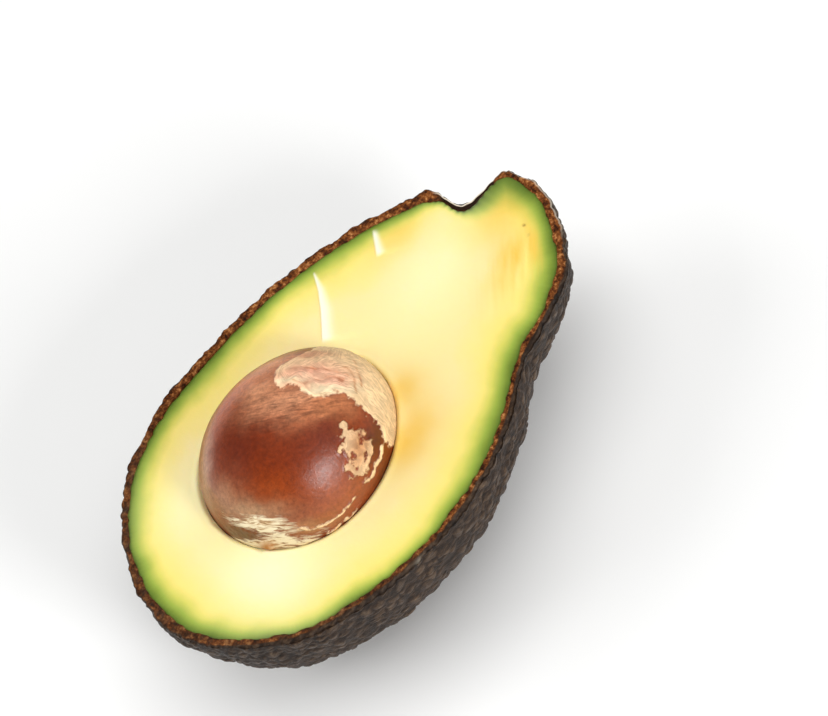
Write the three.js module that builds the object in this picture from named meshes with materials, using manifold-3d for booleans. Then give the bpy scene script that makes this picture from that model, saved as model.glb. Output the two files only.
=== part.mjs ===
// Half a ripe avocado, cut lengthwise, lying on its skin with the cut face up and the seed still in place.
// Millimetres. +Z is up and +X runs along the fruit to the neck.
// The origin is on the table, under the middle.

import * as THREE from "three";
import { mergeVertices } from "three/addons/utils/BufferGeometryUtils.js";
import Module from "manifold-3d";

// Outline of the cut face: radii from OUTLINE_CENTRE to a smooth closed curve, at equal turns.
// The first points to the neck and the rest follow by the +Y side, the blunt end and the -Y side.
const OUTLINE_CENTRE = new THREE.Vector3(-3.15, -0.7, 0);
const RADII_NECK_TO_BLUNT = [58.5, 45, 36, 32.5, 32.5, 36.5, 43.5, 49.5];
const RADII_BLUNT_TO_NECK = [52, 47.5, 39.5, 34.5, 32.5, 32.5, 36, 49.5];
const OUTLINE_RADII = [...RADII_NECK_TO_BLUNT, ...RADII_BLUNT_TO_NECK];
const CUT_HEIGHT = 31.2;
const BELLY_DEPTH = 1.0; // depth of the half over half its width, at the middle
const DEPTH_TAPER = 0.03; // how much that falls towards the neck and grows towards the blunt end
const BELLY_FULLNESS = 2.2; // 2 is a round section, and more is fuller between the rim and the keel
const SETTLING = 0.7; // half the height over which the soft keel bends into its flat spot

// Dimple where the stalk grew: a bowl cut through by the knife
const STALK_SPOT = new THREE.Vector3(47.4, 6.55, 0);
const STALK_TURN = THREE.MathUtils.degToRad(37);
const DIMPLE_RADIUS = 9;
const DIMPLE_DEPTH = 6.4;

// Skin, and its pebbled relief
const SKIN_THICKNESS = 1.8;
const PEBBLE_SPACING = 5;
const PEBBLE_STEEPNESS = 1.6; // how fast a pebble falls away from its top
const PEBBLE_HEIGHT = 0.95;
const PEBBLE_MIDDLE = 0.45; // share of a pebble's height that lies on the smooth surface
const LUMP_SPACING = 17;
const LUMP_HEIGHT = 0.8;
const LUMP_MIDDLE = 0.68; // the same for a lump
const SMOOTH_BELLY_DEPTH = 3.2; // the relief fades over this height above the table
// Numbers that scatter the pebbles the same way every time
const SCATTER_WEIGHTS = new THREE.Vector3(127.1, 311.7, 74.7);
const SCATTER_START = 7;
const SCATTER_SCALES = [43758.5453, 59949.211, 92330.536];

// Seed, and the clearance that every neighbour keeps
const SEED_SINK = 1.2; // how far the seed's middle lies under the cut face
const SEED_CENTRE = new THREE.Vector3(-12.9, 2.35, CUT_HEIGHT - SEED_SINK);
const SEED_RADII = new THREE.Vector3(20.8, 17.6, 17.2);
const SEED_TAPER = 0.05; // how much wider the end towards the neck is
const CLEARANCE = 0.3;

// Triangle rings between a rim and its pole
const SKIN_RINGS = 40;
const LINING_RINGS = 22;
const SEED_RINGS = 13;
const SOCKET_RINGS = 13;
const OVERSHOOT = 6; // how far a cutter stands above the cut face

const FULL_TURN = 2 * Math.PI;
const RIGHT_ANGLE = Math.PI / 2;

const stalkLine = new THREE.Vector3(Math.cos(STALK_TURN), Math.sin(STALK_TURN), 0);

const wasm = await Module();
wasm.setup();

// Small maths

function fraction(value) {
  return value - Math.floor(value);
}

// Smooth curve through values that stand at equal turns round a circle
function repeatingCurve(values, turn) {
  const place = fraction(turn / FULL_TURN) * values.length;
  const first = Math.floor(place);
  const t = place - first;
  const [a, b, c, d] = [-1, 0, 1, 2].map((step) => values[(first + step + values.length) % values.length]);
  return b + 0.5 * t * (c - a + t * (2 * a - 5 * b + 4 * c - d + t * (3 * (b - c) + d - a)));
}

// Three scattered numbers from 0 to 1 for a cell of a lattice
function cellJitter(cell) {
  const mixed = Math.sin(cell.dot(SCATTER_WEIGHTS) + SCATTER_START);
  return new THREE.Vector3(...SCATTER_SCALES.map((scale) => fraction(mixed * scale)));
}

// Distance to the nearest scattered point, over the spacing of the points
function nearestPebble(point, spacing) {
  const cell = point.clone().divideScalar(spacing);
  const base = cell.clone().floor();
  let nearest = Infinity;
  for (const step of neighbours) {
    const corner = base.clone().add(step);
    const distance = cellJitter(corner).add(corner).distanceTo(cell);
    nearest = Math.min(nearest, distance);
  }
  return nearest;
}

const steps = [-1, 0, 1];
const neighbours = steps.flatMap((x) => steps.flatMap((y) => steps.map((z) => new THREE.Vector3(x, y, z))));

// The fruit's own surface

// Smooth surface of the half, before the dimple, along a direction from the middle of the cut face
function bodyPoint(direction) {
  const along = THREE.MathUtils.clamp(direction.x, -1, 1);
  const turn = Math.acos(along);
  const across = Math.hypot(direction.y, direction.z);
  const sideShare = across > 0 ? 0.5 + (0.5 * direction.y) / across : 0.5;
  const radius =
    repeatingCurve(OUTLINE_RADII, turn) * sideShare + repeatingCurve(OUTLINE_RADII, -turn) * (1 - sideShare);
  const level = Math.hypot(direction.x, direction.y);
  const steep = Math.abs(direction.z);
  const fullness = (level ** BELLY_FULLNESS + steep ** BELLY_FULLNESS) ** (-1 / BELLY_FULLNESS);
  const depth = BELLY_DEPTH - DEPTH_TAPER * along;
  const point = new THREE.Vector3(direction.x, direction.y, direction.z * depth);
  point.multiplyScalar(radius * fullness);
  return point.add(OUTLINE_CENTRE).setZ(point.z + CUT_HEIGHT);
}

function bodyNormal(direction) {
  const step = 0.01;
  const level = new THREE.Vector3(-direction.y, direction.x, 0);
  if (level.length() < step) level.set(0, 1, 0);
  level.normalize();
  const steep = new THREE.Vector3().crossVectors(direction, level);
  const tangent = (side) => {
    const ahead = direction.clone().addScaledVector(side, step).normalize();
    const behind = direction.clone().addScaledVector(side, -step).normalize();
    return bodyPoint(ahead).sub(bodyPoint(behind));
  };
  const normal = new THREE.Vector3().crossVectors(tangent(level), tangent(steep)).normalize();
  if (normal.dot(direction) < 0) normal.negate();
  if (direction.z > -step) normal.setZ(0).normalize();
  return normal;
}

// How far the dimple sinks a point, along the stalk's line
function dimpleSink(point) {
  const offset = point.clone().sub(STALK_SPOT).setZ(point.z - CUT_HEIGHT);
  const ahead = offset.dot(stalkLine);
  const fromLine = offset.addScaledVector(stalkLine, -ahead).length();
  if (ahead < -2 * DIMPLE_RADIUS || fromLine > DIMPLE_RADIUS) return 0;
  return DIMPLE_DEPTH * Math.cos((RIGHT_ANGLE * fromLine) / DIMPLE_RADIUS) ** 2;
}

// Height of a point once the soft keel has settled on a floor: no lower than it, and bent smoothly into it
function settledHeight(height, floor) {
  const over = THREE.MathUtils.clamp((height - floor) / SETTLING, -1, 1);
  return Math.max(height, floor + SETTLING) - SETTLING + (SETTLING * (over + 1) ** 2) / 4;
}

// Surface that lies inside the fruit's by an inset, or outside it where the inset is negative
function insetPoint(direction, inset) {
  const point = bodyPoint(direction).addScaledVector(bodyNormal(direction), -inset);
  point.addScaledVector(stalkLine, -dimpleSink(point));
  return point.setZ(settledHeight(point.z, Math.max(inset, 0)));
}

// Outside of the skin: broad lumps under close pebbles, fading where the fruit presses on the table
function skinPoint(direction) {
  const smooth = bodyPoint(direction);
  const pebble = Math.max(0, 1 - PEBBLE_STEEPNESS * nearestPebble(smooth, PEBBLE_SPACING) ** 2);
  const lump = Math.max(0, 1 - nearestPebble(smooth, LUMP_SPACING) ** 2);
  const relief = (pebble - PEBBLE_MIDDLE) * PEBBLE_HEIGHT + (lump - LUMP_MIDDLE) * LUMP_HEIGHT;
  const fade = THREE.MathUtils.smoothstep(smooth.z, 0, SMOOTH_BELLY_DEPTH);
  return insetPoint(direction, -relief * fade);
}

function seedPoint(direction, grow) {
  const taper = 1 + SEED_TAPER * direction.x;
  return new THREE.Vector3(
    direction.x * (SEED_RADII.x + grow),
    direction.y * (SEED_RADII.y * taper + grow),
    direction.z * (SEED_RADII.z * taper + grow),
  ).add(SEED_CENTRE);
}

// Meshes

// Directions of a hemisphere in rings, from the rim to the pole.
// Each ring has four vertices fewer than the one before, so the triangles stay even.
function hemisphere(rings, pole) {
  const directions = [];
  const triangles = [];
  const starts = [];
  for (let ring = 0; ring <= rings; ring++) {
    starts.push(directions.length);
    const tilt = (RIGHT_ANGLE * ring) / rings;
    const count = Math.max(1, 4 * (rings - ring));
    const level = ring === rings ? 0 : Math.cos(tilt);
    const height = ring === 0 ? 0 : pole * Math.sin(tilt);
    for (let i = 0; i < count; i++) {
      const turn = (FULL_TURN * i) / count;
      directions.push(new THREE.Vector3(level * Math.cos(turn), level * Math.sin(turn), height));
    }
  }
  for (let ring = 0; ring < rings; ring++) {
    const wide = rings - ring;
    const narrow = wide - 1;
    const outer = (quarter, i) => starts[ring] + ((quarter * wide + i) % (4 * wide));
    const inner = (quarter, i) => starts[ring + 1] + ((quarter * narrow + i) % Math.max(1, 4 * narrow));
    for (let quarter = 0; quarter < 4; quarter++) {
      for (let i = 0; i < wide; i++) {
        triangles.push([outer(quarter, i), inner(quarter, i), outer(quarter, i + 1)]);
        if (i < narrow) triangles.push([outer(quarter, i + 1), inner(quarter, i), inner(quarter, i + 1)]);
      }
    }
  }
  const wound = pole < 0 ? triangles : triangles.map(([a, b, c]) => [a, c, b]);
  return { directions, triangles: wound, rim: 4 * rings };
}

// A bowl's surface closed by a flat lid at the given height
function liddedBowl(rings, pointAt, lidHeight) {
  const { directions, triangles, rim } = hemisphere(rings, -1);
  const points = directions.map(pointAt);
  const lid = [...triangles];
  const rimPoints = points.slice(0, rim);
  let edge = 0;
  if (lidHeight > CUT_HEIGHT) {
    edge = points.length;
    points.push(...rimPoints.map((point) => point.clone().setZ(lidHeight)));
    for (let i = 0; i < rim; i++) {
      const next = (i + 1) % rim;
      lid.push([i, next, edge + next], [i, edge + next, edge + i]);
    }
  }
  const contour = rimPoints.map((point) => new THREE.Vector2(point.x, point.y));
  for (const face of THREE.ShapeUtils.triangulateShape(contour, [])) lid.push(face.map((i) => edge + i));
  return solid(points, lid);
}

function closedEgg(rings, pointAt) {
  const lower = hemisphere(rings, -1);
  const upper = hemisphere(rings, 1);
  const points = [...lower.directions, ...upper.directions].map(pointAt);
  const shift = lower.directions.length;
  return solid(points, [...lower.triangles, ...upper.triangles.map((face) => face.map((i) => i + shift))]);
}

function solid(points, triangles) {
  const geometry = new THREE.BufferGeometry().setFromPoints(points);
  geometry.setIndex(triangles.flat());
  return manifoldOf(geometry);
}

function manifoldOf(geometry) {
  const merged = mergeVertices(geometry);
  const mesh = new wasm.Mesh({
    numProp: 3,
    vertProperties: Float32Array.from(merged.attributes.position.array),
    triVerts: Uint32Array.from(merged.index.array),
  });
  return new wasm.Manifold(mesh);
}

function namedMesh(name, body, look) {
  const { numProp, vertProperties, triVerts } = body.getMesh();
  const geometry = new THREE.BufferGeometry();
  geometry.setAttribute("position", new THREE.BufferAttribute(vertProperties, numProp));
  geometry.setIndex(new THREE.BufferAttribute(triVerts, 1));
  geometry.computeVertexNormals();
  const mesh = new THREE.Mesh(geometry, new THREE.MeshStandardMaterial(look));
  mesh.name = name;
  return mesh;
}

// The three pieces

function makeSkin() {
  const outside = liddedBowl(SKIN_RINGS, skinPoint, CUT_HEIGHT);
  const inside = liddedBowl(LINING_RINGS, (d) => insetPoint(d, SKIN_THICKNESS), CUT_HEIGHT + OVERSHOOT);
  return namedMesh("skin", outside.subtract(inside), { color: 0x3a302c, roughness: 0.6, metalness: 0 });
}

function makeFlesh() {
  const body = liddedBowl(LINING_RINGS, (d) => insetPoint(d, SKIN_THICKNESS + CLEARANCE), CUT_HEIGHT);
  const socket = closedEgg(SOCKET_RINGS, (d) => seedPoint(d, CLEARANCE));
  return namedMesh("flesh", body.subtract(socket), { color: 0xf2e68c, roughness: 0.45, metalness: 0 });
}

function makeSeed() {
  const egg = closedEgg(SEED_RINGS, (d) => seedPoint(d, 0));
  return namedMesh("seed", egg, { color: 0x8a4420, roughness: 0.35, metalness: 0 });
}

const avocadoHalf = new THREE.Group();
avocadoHalf.add(makeSkin(), makeFlesh(), makeSeed());

export default avocadoHalf;
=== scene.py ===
# %% [markdown]
# This lesson dresses half an avocado that lies on a table with its cut face up and its seed in place.
# The real thing is three pieces: a pebbled rind, the soft flesh inside it, and a hard seed in a paper-thin
# coat. The construction model holds their sizes. This script makes finer surfaces over its shapes, and
# corrects their outlines, mostly by under a millimetre, where the photograph shows that they were off.
# Shapes are worked out in millimetres, and turned into metres when a mesh is built.

import math

import bmesh
import bpy
import numpy as np
from mathutils import Matrix, Vector


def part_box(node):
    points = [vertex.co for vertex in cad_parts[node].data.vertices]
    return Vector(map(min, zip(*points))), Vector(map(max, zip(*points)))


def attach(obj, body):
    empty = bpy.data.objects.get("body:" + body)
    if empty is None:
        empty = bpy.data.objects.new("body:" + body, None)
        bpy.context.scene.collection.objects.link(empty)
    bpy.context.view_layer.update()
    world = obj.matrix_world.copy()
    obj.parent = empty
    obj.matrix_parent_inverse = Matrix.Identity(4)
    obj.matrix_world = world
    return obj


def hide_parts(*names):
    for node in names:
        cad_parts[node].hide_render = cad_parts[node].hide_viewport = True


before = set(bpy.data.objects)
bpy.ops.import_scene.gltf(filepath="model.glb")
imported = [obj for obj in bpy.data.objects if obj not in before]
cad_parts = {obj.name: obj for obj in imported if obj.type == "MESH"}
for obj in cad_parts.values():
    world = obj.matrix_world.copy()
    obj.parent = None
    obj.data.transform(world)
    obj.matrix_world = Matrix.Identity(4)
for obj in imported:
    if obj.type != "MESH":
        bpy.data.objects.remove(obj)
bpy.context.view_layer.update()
MM = 0.001

# %% Take the main sizes from the frame
CUT_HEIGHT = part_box("skin")[1][2] / MM
seed_low, seed_high = [np.array(corner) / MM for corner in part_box("seed")]
SEED_CENTRE = (seed_low + seed_high) / 2
SEED_RADII = (seed_high - seed_low) / 2
SEED_TAPER = 0.07  # how much narrower the end towards the neck is
print("cut face at", round(CUT_HEIGHT, 2), "mm, seed radii", SEED_RADII.round(2))

# %% [markdown]
# The camera comes first, because later cells place a few marks by where they show from it.
# The photograph looks down on the cut face at a slant, with the neck pointing up and to the right.
# A long lens far away gives the flat look of a product picture. The camera could be aimed with a
# constraint, but three angles and a distance say plainly how it stands: it circles the fruit by the
# azimuth, climbs by the elevation, and is then rolled round its own line of sight.

# %% Camera
VIEW_AZIMUTH = math.radians(-31.3)
VIEW_ELEVATION = math.radians(55.3)
VIEW_ROLL = math.radians(28.8)
VIEW_DISTANCE = 602.0
PHOTO_SIZE = (828, 716)
PHOTO_FOCAL = 3270.0
AIM_PIXEL = (340.0, 421.0)
AIM_POINT = np.array([-4.85, -1.3, CUT_HEIGHT])
SENSOR_WIDTH = 36.0


def view_axes(azimuth, elevation, roll):
    """Unit vectors to the right, up and back towards the eye."""
    back = np.array([
        math.sin(azimuth) * math.cos(elevation),
        -math.cos(azimuth) * math.cos(elevation),
        math.sin(elevation),
    ])
    level = np.array([math.cos(azimuth), math.sin(azimuth), 0.0])
    steep = np.cross(back, level)
    right = math.cos(roll) * level - math.sin(roll) * steep
    up = math.sin(roll) * level + math.cos(roll) * steep
    return right, up, back


VIEW_RIGHT, VIEW_UP, VIEW_BACK = view_axes(VIEW_AZIMUTH, VIEW_ELEVATION, VIEW_ROLL)
aside = (AIM_PIXEL[0] - PHOTO_SIZE[0] / 2) / PHOTO_FOCAL
above = (PHOTO_SIZE[1] / 2 - AIM_PIXEL[1]) / PHOTO_FOCAL
eye = AIM_POINT - VIEW_DISTANCE * (-VIEW_BACK + aside * VIEW_RIGHT + above * VIEW_UP)

camera_data = bpy.data.cameras.new("camera")
camera_data.sensor_width = SENSOR_WIDTH
camera_data.lens = PHOTO_FOCAL / PHOTO_SIZE[0] * SENSOR_WIDTH
camera = bpy.data.objects.new("camera", camera_data)
turned = Matrix((VIEW_RIGHT, VIEW_UP, VIEW_BACK)).transposed().to_4x4()
camera.matrix_world = Matrix.Translation(Vector(eye * MM)) @ turned
bpy.context.collection.objects.link(camera)
bpy.context.scene.camera = camera
print("lens", round(camera_data.lens, 1), "mm, eye at", (eye * MM).round(3), "m")

# %% [markdown]
# Natural surfaces need numbers that look random but never change between runs. A hash does that:
# the sine of a whole-number cell, blown up until only its last digits matter. From it come two tools.
# Smooth noise blends the values of the eight corners round a point, and gives soft waves.
# Pebbles measure how far a point is from the nearest scattered centre, and give round bumps.

# %% Noise tools
SCATTER_WEIGHTS = np.array([127.1, 311.7, 74.7])
SCATTER_START = 7.0
SCATTER_SCALES = np.array([43758.5453, 59949.211, 92330.536])
LAYER_SHIFT = 17.3


def scatter(cells):
    """Three numbers from 0 to 1 for each whole-number cell."""
    mixed = np.sin(cells @ SCATTER_WEIGHTS + SCATTER_START)[:, None] * SCATTER_SCALES
    return mixed - np.floor(mixed)


def soft_noise(points, size):
    """Smooth noise from -1 to 1 with waves about as long as the size."""
    place = points / size
    base = np.floor(place)
    part = place - base
    part = part * part * (3 - 2 * part)
    total = np.zeros(len(points))
    for corner in np.ndindex(2, 2, 2):
        weight = np.prod(np.where(corner, part, 1 - part), axis=1)
        total += weight * scatter(base + corner)[:, 0]
    return 2 * total - 1


def rough_noise(points, size, layers=3):
    """Soft noise with finer and weaker layers on top."""
    total = sum(soft_noise(points + LAYER_SHIFT * k, size / 2**k) / 2**k for k in range(layers))
    return total / (2 - 0.5 ** (layers - 1))


def nearest_pebbles(points, size):
    """Distances to the nearest and the second nearest scattered centre, over the size."""
    place = points / size
    base = np.floor(place)
    nearest = np.full(len(points), np.inf)
    second = np.full(len(points), np.inf)
    for step in np.ndindex(3, 3, 3):
        cells = base + np.array(step) - 1
        distance = np.linalg.norm(cells + scatter(cells) - place, axis=1)
        second = np.minimum(second, np.maximum(nearest, distance))
        nearest = np.minimum(nearest, distance)
    return nearest, second


def smoothstep(values, start, end):
    """0 before start, 1 after end, and a soft S between."""
    part = np.clip((values - start) / (end - start), 0, 1)
    return part * part * (3 - 2 * part)


print("noise at three places:", soft_noise(np.eye(3), 2.0).round(2))

# %% Distances from lines


def from_line(places, start, end):
    """Offset of each flat place from a straight line between two others, and the share along it."""
    span = np.subtract(end, start)
    part = np.clip((places - start) @ span / (span @ span), 0, 1)
    return places - start - part[:, None] * span, part


def path_distance(places, path):
    """Distance from each flat place to an open path."""
    offsets = [from_line(places, start, end)[0] for start, end in zip(path[:-1], path[1:])]
    return np.min([np.linalg.norm(offset, axis=1) for offset in offsets], axis=0)


print("from the middle to a line one away:", path_distance(np.zeros((1, 2)), [(1, -1), (1, 1)]))

# %% [markdown]
# The fruit's own form is a smooth closed curve for the cut face, swept down to the keel. A few radii
# give it, read as distances from a middle point at equal turns. Most are the construction model's own.
# The middle, three radii near the neck and the dimple are corrected ones, by two and a half at most.
# A lathe could not make it, because the two sides of a real fruit differ, so each side has its own
# radii and the belly blends from one to the other. The stalk's dimple is a bowl pushed in near the neck,
# and the ripe keel has settled into a flat spot where it lies.

# %% The fruit's form
OUTLINE_CENTRE = np.array([-2.5, -0.7, 0.0])
RADII_NECK_TO_BLUNT = [57.2, 44.2, 36, 32.5, 32.5, 36.5, 43.5, 49.5]
RADII_BLUNT_TO_NECK = [52, 47.5, 39.5, 34.5, 32.5, 32.5, 36, 51.2]
OUTLINE_RADII = np.array(RADII_NECK_TO_BLUNT + RADII_BLUNT_TO_NECK)
BELLY_DEPTH = 1.0
DEPTH_TAPER = 0.03
BELLY_FULLNESS = 2.2
SETTLING = 0.7
STALK_SPOT = np.array([48.55, 5.8, CUT_HEIGHT])
STALK_TURN = math.radians(33)
STALK_LINE = np.array([math.cos(STALK_TURN), math.sin(STALK_TURN), 0.0])
DIMPLE_RADIUS = 8.5
DIMPLE_DEPTH = 7.1
FULL_TURN = 2 * math.pi
RIGHT_ANGLE = math.pi / 2


def closed_curve(values, turns):
    """Smooth curve through values that stand at equal turns round a circle."""
    place = (turns / FULL_TURN) % 1.0 * len(values)
    first = np.floor(place).astype(int)
    t = place - first
    a, b, c, d = [values[(first + step) % len(values)] for step in (-1, 0, 1, 2)]
    return b + 0.5 * t * (c - a + t * (2 * a - 5 * b + 4 * c - d + t * (3 * (b - c) + d - a)))


def body_points(directions):
    """Smooth surface of the half, before the dimple."""
    x, y, z = directions.T
    turns = np.arccos(np.clip(x, -1, 1))
    across = np.maximum(np.hypot(y, z), 1e-12)
    share = 0.5 + 0.5 * y / across
    radius = closed_curve(OUTLINE_RADII, turns) * share + closed_curve(OUTLINE_RADII, -turns) * (1 - share)
    fullness = (np.hypot(x, y) ** BELLY_FULLNESS + np.abs(z) ** BELLY_FULLNESS) ** (-1 / BELLY_FULLNESS)
    depth = BELLY_DEPTH - DEPTH_TAPER * x
    points = np.column_stack([x, y, z * depth]) * (radius * fullness)[:, None] + OUTLINE_CENTRE
    points[:, 2] += CUT_HEIGHT
    return points


def unit(vectors):
    """The same directions with length one."""
    return vectors / np.maximum(np.linalg.norm(vectors, axis=1), 1e-12)[:, None]


def body_normals(directions):
    """Outward normals of the smooth surface, level at the cut face."""
    step = 0.01
    level = np.column_stack([-directions[:, 1], directions[:, 0], np.zeros(len(directions))])
    level[np.linalg.norm(level, axis=1) < step] = (0, 1, 0)
    level = unit(level)
    steep = np.cross(directions, level)
    along = [body_points(unit(directions + step * side)) - body_points(unit(directions - step * side))
             for side in (level, steep)]
    normals = unit(np.cross(along[0], along[1]))
    normals[np.sum(normals * directions, axis=1) < 0] *= -1
    normals[directions[:, 2] > -step, 2] = 0
    return unit(normals)


def dimple_sink(points):
    """How far the dimple pushes each point in, along the stalk's line."""
    offset = points - STALK_SPOT
    ahead = offset @ STALK_LINE
    off_line = np.linalg.norm(offset - ahead[:, None] * STALK_LINE, axis=1)
    sink = DIMPLE_DEPTH * np.cos(RIGHT_ANGLE * np.minimum(off_line / DIMPLE_RADIUS, 1)) ** 2
    return np.where(ahead < -2 * DIMPLE_RADIUS, 0, sink)


def settled(heights, floor):
    """Heights once the soft keel has settled on a floor."""
    over = np.clip((heights - floor) / SETTLING, -1, 1)
    return np.maximum(heights, floor + SETTLING) - SETTLING + SETTLING * (over + 1) ** 2 / 4


def inset_points(directions, inset):
    """Surface that lies inside the fruit's by an inset, which may differ from point to point."""
    inset = np.broadcast_to(inset, len(directions))
    points = body_points(directions) - body_normals(directions) * inset[:, None]
    points -= STALK_LINE * dimple_sink(points)[:, None]
    points[:, 2] = settled(points[:, 2], np.maximum(inset, 0))
    return points


print("lowest point under the middle:", inset_points(np.array([[0.0, 0.0, -1.0]]), 0.0).round(2), "mm")

# %% [markdown]
# A sphere made of rings and spokes crowds its points at the pole. Here every ring has four points fewer
# than the one before it, so the triangles stay nearly even all the way down. Blender's own icosphere is
# even too, but it has no clean ring to cut along, and this fruit is cut exactly there.

# %% Even hemispheres


def ring_directions(rings, pole):
    """Directions and triangles of a hemisphere, from its rim to its pole."""
    blocks, faces, starts, total = [], [], [], 0
    for ring in range(rings + 1):
        tilt = RIGHT_ANGLE * ring / rings
        count = max(1, 4 * (rings - ring))
        turns = FULL_TURN * np.arange(count) / count
        level = math.cos(tilt) if ring < rings else 0.0
        height = np.full(count, pole * math.sin(tilt))
        blocks.append(np.column_stack([level * np.cos(turns), level * np.sin(turns), height]))
        starts.append(total)
        total += count
    for ring in range(rings):
        wide, narrow = rings - ring, rings - ring - 1
        quarter, i = np.divmod(np.arange(4 * wide), wide)
        outer, outer_next = [starts[ring] + (quarter * wide + i + k) % (4 * wide) for k in (0, 1)]
        inner, inner_next = [starts[ring + 1] + (quarter * narrow + i + k) % max(1, 4 * narrow)
                             for k in (0, 1)]
        faces.append(np.column_stack([outer, inner, outer_next]))
        faces.append(np.column_stack([outer_next, inner, inner_next])[i < narrow])
    return np.vstack(blocks), np.vstack(faces)


# %% Faces between rows, and meshes from arrays


def add_points(blocks, points):
    """Adds a block of points, and gives the numbers that they have in the mesh."""
    start = sum(map(len, blocks))
    blocks.append(points)
    return start + np.arange(len(points))


def ring_strip(upper, lower):
    """Quads between two closed rows of the same length."""
    return np.column_stack([upper, lower, np.roll(lower, -1), np.roll(upper, -1)])


def coarse_strip(fine, coarse):
    """Triangles between a closed row and one with a quarter of its points."""
    after = np.roll(coarse, -1)
    a, b, c, d = [fine[k::4] for k in range(4)]
    e = np.roll(a, -1)
    return np.vstack([np.column_stack(face) for face in (
        (a, coarse, b), (b, coarse, c), (c, coarse, after), (c, after, d), (d, after, e))])


def build_piece(name, points, face_blocks, marks, material, node):
    """A shown mesh in place of a CAD node, with its marks stored as vertex attributes."""
    mesh = bpy.data.meshes.new(name)
    faces = [tuple(face) for block in face_blocks for face in block.tolist()]
    mesh.from_pydata((points * MM).tolist(), [], faces)
    shape = bmesh.new()
    shape.from_mesh(mesh)
    bmesh.ops.recalc_face_normals(shape, faces=shape.faces)
    shape.to_mesh(mesh)
    shape.free()
    for mark, values in marks.items():
        values = np.asarray(values, dtype=np.float32)
        if values.ndim == 1:
            mesh.attributes.new(mark, "FLOAT", "POINT").data.foreach_set("value", values)
        else:
            mesh.attributes.new(mark, "FLOAT_COLOR", "POINT").data.foreach_set("color", values.ravel())
    mesh.polygons.foreach_set("use_smooth", np.ones(len(mesh.polygons), dtype=bool))
    piece = bpy.data.objects.new(name, mesh)
    bpy.context.collection.objects.link(piece)
    mesh.materials.append(material)
    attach(piece, "root")
    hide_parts(node)
    print(name, len(mesh.vertices), "points,", len(mesh.polygons), "faces")


# %% [markdown]
# A material in Blender is a small network of nodes. One helper adds a node, sets it up and links it, so
# that a whole finish reads as a short list. Colours are written as the hex values that a picture editor
# shows, and have to be turned to linear light before the renderer can use them.

# %% Material helpers
COORDINATES, MARK, BUMP = "ShaderNodeTexCoord", "ShaderNodeAttribute", "ShaderNodeBump"
NOISE, RAMP, RANGE = "ShaderNodeTexNoise", "ShaderNodeValToRGB", "ShaderNodeMapRange"
MATH, MIX, MAPPING = "ShaderNodeMath", "ShaderNodeMix", "ShaderNodeMapping"
SURFACE, OUTPUT = "ShaderNodeBsdfPrincipled", "ShaderNodeOutputMaterial"
A, B, FACTOR, MIXED = 6, 7, 0, 2  # sockets of a Mix node that blends colours
MAIN_OUTPUT = {COORDINATES: "Object", MARK: "Fac", MIX: MIXED}  # of the others, the first one is used
BLENDED = {"data_type": "RGBA"}
TINTED = {"data_type": "RGBA", "blend_type": "MULTIPLY"}


def linear(colour):
    """A linear RGBA colour from an sRGB hex value."""
    channels = [int(colour[k:k + 2], 16) / 255 for k in (1, 3, 5)]
    return [c / 12.92 if c <= 0.04045 else ((c + 0.055) / 1.055) ** 2.4 for c in channels] + [1.0]


def put(tree, kind, inputs=None, stops=(), out=None, **settings):
    """Adds a node with its settings, its values or links, and its colour stops. Returns one output."""
    node = tree.nodes.new(kind)
    for name, value in settings.items():
        setattr(node, name, value)
    for socket, value in (inputs or {}).items():
        if isinstance(value, bpy.types.NodeSocket):
            tree.links.new(value, node.inputs[socket])
        else:
            node.inputs[socket].default_value = value
    for place, (position, colour) in enumerate(stops):
        elements = node.color_ramp.elements
        element = elements[place] if place < 2 else elements.new(position)
        element.position = position
        element.color = linear(colour)
    if node.outputs:
        return node.outputs[MAIN_OUTPUT.get(kind, 0) if out is None else out]


def new_material(name):
    """An empty material, and its node tree."""
    material = bpy.data.materials.new(name)
    material.use_nodes = True
    material.node_tree.nodes.clear()
    return material, material.node_tree


print("a middle grey in linear light:", round(linear("#808080")[0], 3))

# %% [markdown]
# The rind of this kind of avocado is thick, dark and leathery, and covered with pebbles: small raised
# islands with creases between them. Where the knife went through, it shows its fibrous inside as a rough
# reddish brown band. A displacement modifier could raise the pebbles, but then the cut edge would not
# know about them. Here the relief is added to the points themselves, and the cut band starts from it.

# %% Rind shape
SKIN_THICKNESS = 1.8
SKIN_RINGS = 248
CAD_PEBBLE_SPACING = 5.0
CAD_PEBBLE_HEIGHT = 0.95
CAD_PEBBLE_STEEPNESS = 1.6
CAD_PEBBLE_MIDDLE = 0.45  # share of its height that lies on the smooth form
CAD_PEBBLE_SHARE = 0.7  # how much of it stays under the fine pebbles
LUMP_SPACING = 17.0
LUMP_HEIGHT = 0.8
LUMP_MIDDLE = 0.68
PEBBLE_SPACING = 2.0
PEBBLE_HEIGHT = 0.55
PEBBLE_MIDDLE = 0.6  # height, as a share, that lies on the smooth form
PEBBLE_STRETCH = np.array([0.72, 1.0, 1.0])  # pebbles are longer along the fruit
PEBBLE_WARP = 1.3  # how far noise shifts them, so that their outlines vary
SMOOTH_BELLY_DEPTH = 3.2  # the relief fades out over this height above the table
LIP_SPOT = (44.1, 11.4)
LIP_SIZE = 2.2
NICK_SPOT = (-22.3, -31.9)


def pebble_height(points):
    """Height of the fine pebbles, from 0 in a crease to 1 on top."""
    warp = np.column_stack([rough_noise(points + shift, 3.5) for shift in (5, 11, 19)])
    shifted = points + PEBBLE_WARP * warp
    nearest, second = nearest_pebbles(shifted * PEBBLE_STRETCH, PEBBLE_SPACING)
    plateau = smoothstep(second - nearest, 0.0, 0.5)
    return (0.25 + 0.75 * plateau) * (1 - 0.6 * np.minimum(nearest, 1) ** 2)


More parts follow.
